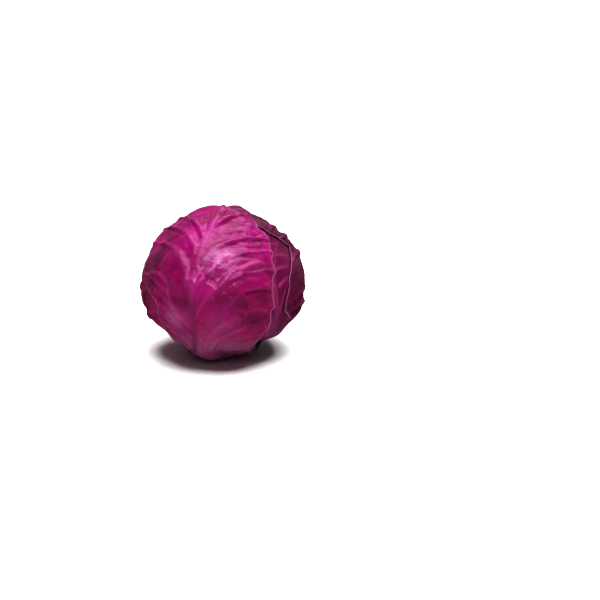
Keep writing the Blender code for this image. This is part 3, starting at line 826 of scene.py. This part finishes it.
def leaf_surfaces(leaves, index, distance, bearing, inside_edge):
    """Directions, the inner and the outer surface's distance from the head's middle, and what is
    painted on the leaf. 'inside_edge' is how many degrees inside its waved edge a point lies."""
    leaf = leaves[index]
    direction = leaf.direction(distance, bearing)
    turn = np.radians(bearing)
    across, along = distance * np.sin(turn), distance * np.cos(turn)
    free = open_to_air(leaves, index, direction)
    fold, vein, pale, dark, painted_light = blade_marks(leaf, across, along)
    ribs, rib_pale = rib_height(leaf, across, along)
    beyond = leaf.beyond_edge(direction)
    lift = free * blade_lift(leaf, across, along, beyond, fold)
    rest, beneath = bed(leaves, index, direction)
    inner = rest + LEAF_GAP + lift
    droop = DROOP * free * above_base(along) * ramp(beyond, -DROOP_DEPTH, DROOP_DEPTH)
    inner = inner - droop * np.maximum(inner - LEAF_GAP - beneath, 0.0)
    level = MIDDLE_HEIGHT + inner * direction[:, 2]
    above_cut = ramp(level, 2.0 * CUT_HEIGHT, ABOVE_CUT_RUN)
    taper = smooth_step(1.0 - inside_edge / EDGE_TAPER) * above_cut
    thickness = LEAF_THICKNESS - (LEAF_THICKNESS - EDGE_THICKNESS) * taper
    relief = ribs + FOLD_ON_RIBS * np.minimum(fold, 0.0) * smooth_step(ribs / RIB_FADE)
    relief = free * np.maximum(relief, ribs * LEAST_RIB)
    relief = relief + (0.5 + 0.5 * free) * vein * above_cut
    outer = inner + thickness + (1.0 - taper) * relief
    veined = np.maximum(pale * (COVERED_PALENESS + (1.0 - COVERED_PALENESS) * free), rib_pale)
    shade = LEAF_SHADES[leaf.number - 1]
    edge_line = smooth_step(1.0 - inside_edge / EDGE_LINE) * above_cut
    marks = {
        "pale": veined,
        # Painted shade in grooves, hollows and on the sides
        "dark": dark * free,
        "edge": edge_line * (1.0 - EDGE_IN_SHADE * shade),
        "petiole": waxy_bloom(leaf, across, along),
        "upper": ramp(along, *UPPER_RAMP),
        "cut": 1.0 - ramp(level, CUT_HEIGHT, CUT_FADE),
        "across": across, "along": along,
        # Painted shade over the whole leaf, less on its veins
        "shade": shade * (1.0 - VEINS_IN_SHADE * np.minimum(veined, 1.0)),
        # Painted light and a painted highlight on the swelling
        "painted_light": np.maximum(painted_light, swelling(leaf, across, along)),
        "painted_highlight": swelling(leaf, across - PAINTED_HIGHLIGHT_SHIFT, along - PAINTED_HIGHLIGHT_SHIFT),
    }
    return direction, inner, outer, marks


def cut_base(leaves, index):
    """Shorten the edge near the base, by halving, to where each surface comes down to the cut."""
    leaf = leaves[index]
    tables = []
    for surface in (1, 2):
        near = np.full(len(MARGIN_BEARINGS), LEAST_CUT_DISTANCE)
        far = np.full(len(MARGIN_BEARINGS), 180.0 - LEAF_CENTRE_POLAR)
        for _ in range(HALVINGS):
            middle = 0.5 * (near + far)
            found = leaf_surfaces(leaves, index, middle, MARGIN_BEARINGS, np.full(len(middle), 90.0))
            height = MIDDLE_HEIGHT + found[surface] * found[0][:, 2]
            near = np.where(height > CUT_HEIGHT, middle, near)
            far = np.where(height > CUT_HEIGHT, far, middle)
        tables.append(np.minimum(leaf.outer_margin, near))
    leaf.inner_margin, leaf.outer_margin = tables
    leaf.edge = leaf.direction(leaf.outer_margin, MARGIN_BEARINGS)


def round_patch(cells):
    """A square from -1 to 1 bent into a disc: x = u * sqrt(1 - v^2 / 2), y = v * sqrt(1 - u^2 / 2).
    Gives the radius and the bearing of each point."""
    even = np.linspace(-1.0, 1.0, cells + 1)
    u, v = np.meshgrid(even, even)
    x = (u * np.sqrt(1.0 - 0.5 * v * v)).ravel()
    y = (v * np.sqrt(1.0 - 0.5 * u * u)).ravel()
    return np.hypot(x, y), np.degrees(np.arctan2(x, y))


def crinkle(leaf, bearing):
    """Small waves of the edge, in degrees, none near the base."""
    turn = np.radians(bearing)
    waves = sum(size * np.sin(count * turn + shift * leaf.phase) for size, count, shift in CRINKLES)
    return waves * ramp(180.0 - np.abs(bearing), *CRINKLE_RAMP)


def patch_points(leaves, index, cells, surface):
    """Points and painted values of one surface of a leaf, over the whole of its outline."""
    leaf = leaves[index]
    radius, bearing = round_patch(cells)
    table = leaf.inner_margin if surface == 1 else leaf.outer_margin
    margin = np.interp(bearing, MARGIN_BEARINGS, table) + crinkle(leaf, bearing)
    turning = np.gradient(table, np.radians(MARGIN_BEARINGS))
    oblique = np.hypot(1.0, np.interp(bearing, MARGIN_BEARINGS, turning) / margin)
    found = leaf_surfaces(leaves, index, radius * margin, bearing, (1.0 - radius) * margin / oblique)
    points = found[0] * found[surface][:, None]
    points[:, 2] += MIDDLE_HEIGHT
    return points, found[0], found[3]


def quad_patch(cells, start):
    """Squares of a grid whose first point has the number 'start', and the numbers round its rim."""
    number = start + np.arange((cells + 1) ** 2).reshape(cells + 1, cells + 1)
    quads = np.stack([number[:-1, :-1], number[:-1, 1:], number[1:, 1:], number[1:, :-1]], axis=-1)
    rim = np.concatenate([number[0, :-1], number[:-1, -1], number[-1, :0:-1], number[:0:-1, 0]])
    return quads.reshape(-1, 4), rim


def leaf_mesh(leaves, index):
    """A closed blade: a fine outer surface, an inner one half as fine, and a rounded edge of two
    strips between them, which stays flat where the base is cut."""
    outer, direction, marks = patch_points(leaves, index, OUTER_CELLS, 2)
    inner, _, inner_marks = patch_points(leaves, index, INNER_CELLS, 1)
    quads, rim = quad_patch(OUTER_CELLS, 0)
    under_quads, under_rim = quad_patch(INNER_CELLS, len(outer))
    doubled = np.repeat(inner[under_rim - len(outer)], 2, axis=0)
    doubled[1::2] = 0.5 * (doubled[::2] + np.roll(doubled[::2], -1, axis=0))
    run = np.roll(outer[rim], -1, axis=0) - np.roll(outer[rim], 1, axis=0)
    outwards = np.cross(run, direction[rim])
    outwards /= np.linalg.norm(outwards, axis=1, keepdims=True)
    above_cut = ramp(outer[rim, 2], 2.0 * CUT_HEIGHT, EDGE_ROUNDING_RUN)
    middle = 0.5 * (outer[rim] + doubled) + EDGE_ROUNDING * above_cut[:, None] * outwards
    first = len(outer) + len(inner)
    edge = first + np.arange(len(rim))
    after, edge_after = np.roll(rim, -1), np.roll(edge, -1)
    upper = np.stack([rim, edge, edge_after, after], axis=-1)
    under_after = np.roll(under_rim, -1)
    even, odd, last = edge[::2], edge[1::2], edge_after[1::2]
    fans = [np.stack(corners, axis=-1) for corners in (
        (even, under_rim, odd), (under_rim, under_after, odd), (odd, under_after, last))]
    points = np.concatenate([outer, inner, middle])
    faces = quads.tolist() + under_quads[:, ::-1].tolist() + upper.tolist()
    for fan in fans:
        faces += fan.tolist()
    name = f"wrapper_leaf_{leaves[index].number}_blade"
    mesh = bpy.data.meshes.new(name)
    mesh.from_pydata(points.tolist(), [], faces)
    for key, values in marks.items():
        painted = mesh.attributes.new(key, "FLOAT", "POINT")
        painted.data.foreach_set("value", np.concatenate([values, inner_marks[key], values[rim]]))
    mesh.shade_smooth()
    return mesh


# Crimson towards the base and magenta towards the tip: partly the leaf's own colour, partly painted light
# from above
LOWER_CRIMSON = (0.150, 0.0010, 0.036)
UPPER_MAGENTA = (0.21, 0.0018, 0.092)
CLOUD_CRIMSON = (0.13, 0.0009, 0.037)
PATCH_WINE = (0.045, 0.0005, 0.010)
# Painted light: brighter magenta on the swelling and towards the middle of the outermost leaf
PAINTED_LIGHT_MAGENTA = (0.24, 0.0025, 0.10)
WAX_LILAC = (0.170, 0.040, 0.098)
NET_MAUVE = (0.17, 0.014, 0.09)
VEIN_PINK = (0.23, 0.022, 0.125)
# Painted shade in grooves, hollows and on the sides of the outermost leaf
PAINTED_HOLLOW_SHADE = (0.022, 0.0005, 0.006)
# The colour of painted shade laid over whole leaves
PAINTED_LEAF_SHADE = (0.022, 0.001, 0.007)
EDGE_PINK = (0.28, 0.12, 0.20)
CUT_ROSE = (0.30, 0.03, 0.12)
# A painted highlight, pale lilac, on the swelling
PAINTED_HIGHLIGHT_LILAC = (0.33, 0.13, 0.27)
GLOSS_TINT = (1.0, 0.38, 0.95, 1.0)


def leaf_skin():
    """Waxy red leaf: crimson to magenta, cloudy, with paler ribs and a fine net of veins, a lilac
    bloom of wax towards the base, a thin pale edge, and rose flesh where it was cut. The magenta
    towards the tip is partly painted light; painted light and a lilac painted highlight lie on the
    swelling, and painted shade in grooves, hollows, on the sides and over leaves in shade."""
    skin = Skin("waxy_red_leaf")
    place = skin.place()
    plane = skin.node("ShaderNodeCombineXYZ", {"X": skin.painted("across"), "Y": skin.painted("along")})
    plane = plane.outputs[0]
    squeezed = skin.node("ShaderNodeMapping", {"Vector": place, "Scale": (1.0, 1.0, 1.6)}).outputs[0]
    cloud = skin.noise(place, scale=38.0, detail=6.0, roughness=0.6)
    patches = skin.noise(place, scale=24.0, detail=3.0)
    grain = skin.noise(place, scale=260.0, detail=4.0, roughness=0.6)
    crinkles = skin.noise(squeezed, scale=95.0, detail=5.0, roughness=0.6)
    drawn_out = skin.node("ShaderNodeMapping", {"Vector": plane, "Scale": (0.9, 0.07, 1.0)})
    streaks = skin.noise(drawn_out.outputs[0], scale=1.0, detail=4.0, roughness=0.6)
    wander = skin.node("ShaderNodeTexNoise", {"Vector": plane, "Scale": 0.25, "Detail": 3.0})
    sockets = {0: wander.outputs["Color"], 1: (5.0, 5.0, 0.0)}
    shift = skin.node("ShaderNodeVectorMath", sockets, operation="MULTIPLY").outputs[0]
    warped = skin.node("ShaderNodeVectorMath", {0: plane, 1: shift}, operation="ADD").outputs[0]
    net = skin.node("ShaderNodeTexVoronoi", {"Vector": warped, "Scale": 0.30}, feature="DISTANCE_TO_EDGE")
    lines = skin.spread(net.outputs["Distance"], 0.0, 0.12, 1.0, 0.0)
    streaked, grained = skin.spread(streaks, 0.25, 0.7, 0.55, 1.0), skin.spread(grain, 0.2, 0.8, 0.2, 0.6)
    crinkled = skin.spread(crinkles, 0.42, 0.62, 0.05, 0.75)
    # Darker at the base and brighter towards the tip: partly painted light from above
    colour = skin.mix(skin.painted("upper"), LOWER_CRIMSON, UPPER_MAGENTA)
    for amount, tone in (
        (skin.spread(cloud, 0.42, 0.60), CLOUD_CRIMSON),
        (skin.spread(patches, 0.50, 0.60, 0.0, 0.6), PATCH_WINE),
        # painted light on the swelling and towards the middle
        (skin.sum("MULTIPLY", skin.painted("painted_light"), 0.8), PAINTED_LIGHT_MAGENTA),
        (skin.sum("MULTIPLY", skin.painted("petiole"), streaked), WAX_LILAC),
        (skin.sum("MULTIPLY", lines, 0.06), NET_MAUVE),
        (skin.sum("MULTIPLY", skin.painted("pale"), grained), VEIN_PINK),
        # painted shade in grooves, hollows and on the sides
        (skin.sum("MULTIPLY", skin.painted("dark"), 0.75), PAINTED_HOLLOW_SHADE),
        # painted shade over whole leaves
        (skin.painted("shade"), PAINTED_LEAF_SHADE),
        (skin.sum("MULTIPLY", skin.painted("edge"), 0.7), EDGE_PINK),
        (skin.painted("cut"), CUT_ROSE),
        # a painted highlight on the swelling
        (skin.sum("MULTIPLY", skin.painted("painted_highlight"), crinkled), PAINTED_HIGHLIGHT_LILAC),
    ):
        colour = skin.mix(amount, colour, tone)
    rough = skin.spread(grain, 0.25, 0.75, 0.25, 0.38)
    relief = skin.sum("ADD", skin.sum("MULTIPLY", lines, 0.15), skin.sum("MULTIPLY", grain, 0.35))
    relief = skin.sum("ADD", relief, skin.sum("MULTIPLY", crinkles, 2.2))
    return skin.finish(
        Base_Color=colour, Roughness=rough, Normal=skin.raised(relief, depth=0.00035, strength=0.8),
        Specular_IOR_Level=0.1, Specular_Tint=GLOSS_TINT,
    )


leaves = [Leaf(number, *shape) for number, shape in enumerate(LEAVES, start=1)]
red_leaf = leaf_skin()
for leaf in leaves:
    leaf.veins = branch_veins(leaf)
for index in reversed(range(len(leaves))):
    cut_base(leaves, index)
    blade = piece_of(leaf_mesh(leaves, index), red_leaf)
    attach(blade, "root")
    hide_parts(f"wrapper_leaf_{leaves[index].number}")


# The ground it stands on: a plain white studio floor, wide enough to fill the picture.
FLOOR_SIZE = 30.0
floor_mesh = bpy.data.meshes.new("floor")
half = 0.5 * FLOOR_SIZE
floor_mesh.from_pydata([(-half, -half, 0), (half, -half, 0), (half, half, 0), (-half, half, 0)], [],
                       [(0, 1, 2, 3)])
floor_skin = Skin("white_floor")
floor_tone = floor_skin.noise(floor_skin.place(), scale=2.0)
floor_colour = floor_skin.mix(floor_tone, (0.86, 0.85, 0.855), (0.88, 0.875, 0.88))
floor = piece_of(floor_mesh, floor_skin.finish(
    Base_Color=floor_colour, Roughness=0.9, Specular_IOR_Level=0.1))
floor.visible_glossy = False


# Soft studio light: a very broad lamp almost straight overhead, a small one high in front that
# gives only the glints, and a room that is pale behind the head and dark below the level.
def soft_lamp(name, elevation, azimuth, strength, spread, for_gloss=False):
    """A lamp as broad as 'spread' degrees, from an elevation and an azimuth counted from -Y to +X.
    One for gloss gives highlights and lights nothing else."""
    lamp = bpy.data.lights.new(name, "SUN")
    lamp.energy = strength
    lamp.angle = np.radians(spread)
    made = bpy.data.objects.new(name, lamp)
    up, turn = np.radians(elevation), np.radians(azimuth)
    away = Vector((np.sin(turn) * np.cos(up), -np.cos(turn) * np.cos(up), np.sin(up)))
    made.rotation_euler = away.to_track_quat("Z", "Y").to_euler()
    made.visible_diffuse = not for_gloss
    bpy.context.scene.collection.objects.link(made)


soft_lamp("lamp_above", elevation=81.0, azimuth=140.0, strength=11.0, spread=56.0)
soft_lamp("lamp_gloss", elevation=47.0, azimuth=2.0, strength=9.0, spread=9.0, for_gloss=True)
room = bpy.data.worlds.new("pale_room")
room.use_nodes = True
air = room.node_tree
looking = air.nodes.new("ShaderNodeTexCoord").outputs["Generated"]
split = air.nodes.new("ShaderNodeSeparateXYZ")
both = air.nodes.new("ShaderNodeMath")
both.operation = "MULTIPLY"
air.links.new(looking, split.inputs[0])


def light_by(part, low, high, least, most):
    """The room's light by one part of the direction looked in: least up to low, most from high on,
    and evenly more between. Both such lights are multiplied."""
    light = air.nodes.new("ShaderNodeMapRange")
    for name, value in (("From Min", low), ("From Max", high), ("To Min", least), ("To Max", most)):
        light.inputs[name].default_value = value
    air.links.new(split.outputs[part], light.inputs["Value"])
    return light.outputs["Result"]


air.links.new(light_by("Y", low=0.2, high=0.95, least=0.015, most=0.32), both.inputs[0])
air.links.new(light_by("Z", low=-0.25, high=0.0, least=0.0, most=1.0), both.inputs[1])
air.links.new(both.outputs["Value"], air.nodes["Background"].inputs["Strength"])
air.nodes["Background"].inputs["Color"].default_value = (1.0, 1.0, 1.0, 1.0)
bpy.context.scene.world = room
bpy.context.scene.view_settings.view_transform = "Standard"


# The camera: 18 degrees above the level, square to the front, aimed beside the head as in the
# photograph, where 600 pixels span about 545 mm at the head.
CAMERA_ELEVATION = 18.0
CAMERA_DISTANCE = 2.4
PICTURE_WIDTH = 0.5455
PICTURE_PIXELS = 600
HEAD_PIXEL = (223.5, 282.0)
SENSOR_WIDTH = 36.0
camera_data = bpy.data.cameras.new("camera")
camera_data.sensor_width = SENSOR_WIDTH
camera_data.lens = SENSOR_WIDTH * CAMERA_DISTANCE / PICTURE_WIDTH
camera = bpy.data.objects.new("camera", camera_data)
tilt = np.radians(CAMERA_ELEVATION)
back = Vector((0.0, -np.cos(tilt), np.sin(tilt)))
upwards = Vector((0.0, np.sin(tilt), np.cos(tilt)))
pixel = PICTURE_WIDTH / PICTURE_PIXELS
middle = 0.5 * PICTURE_PIXELS
aim = Vector((0.0, 0.0, MIDDLE_HEIGHT)) + Vector((1.0, 0.0, 0.0)) * (middle - HEAD_PIXEL[0]) * pixel
aim -= upwards * (middle - HEAD_PIXEL[1]) * pixel
facing = back.to_track_quat("Z", "Y").to_matrix().to_4x4()
camera.matrix_world = Matrix.Translation(aim + back * CAMERA_DISTANCE) @ facing
bpy.context.scene.collection.objects.link(camera)
bpy.context.scene.camera = camera
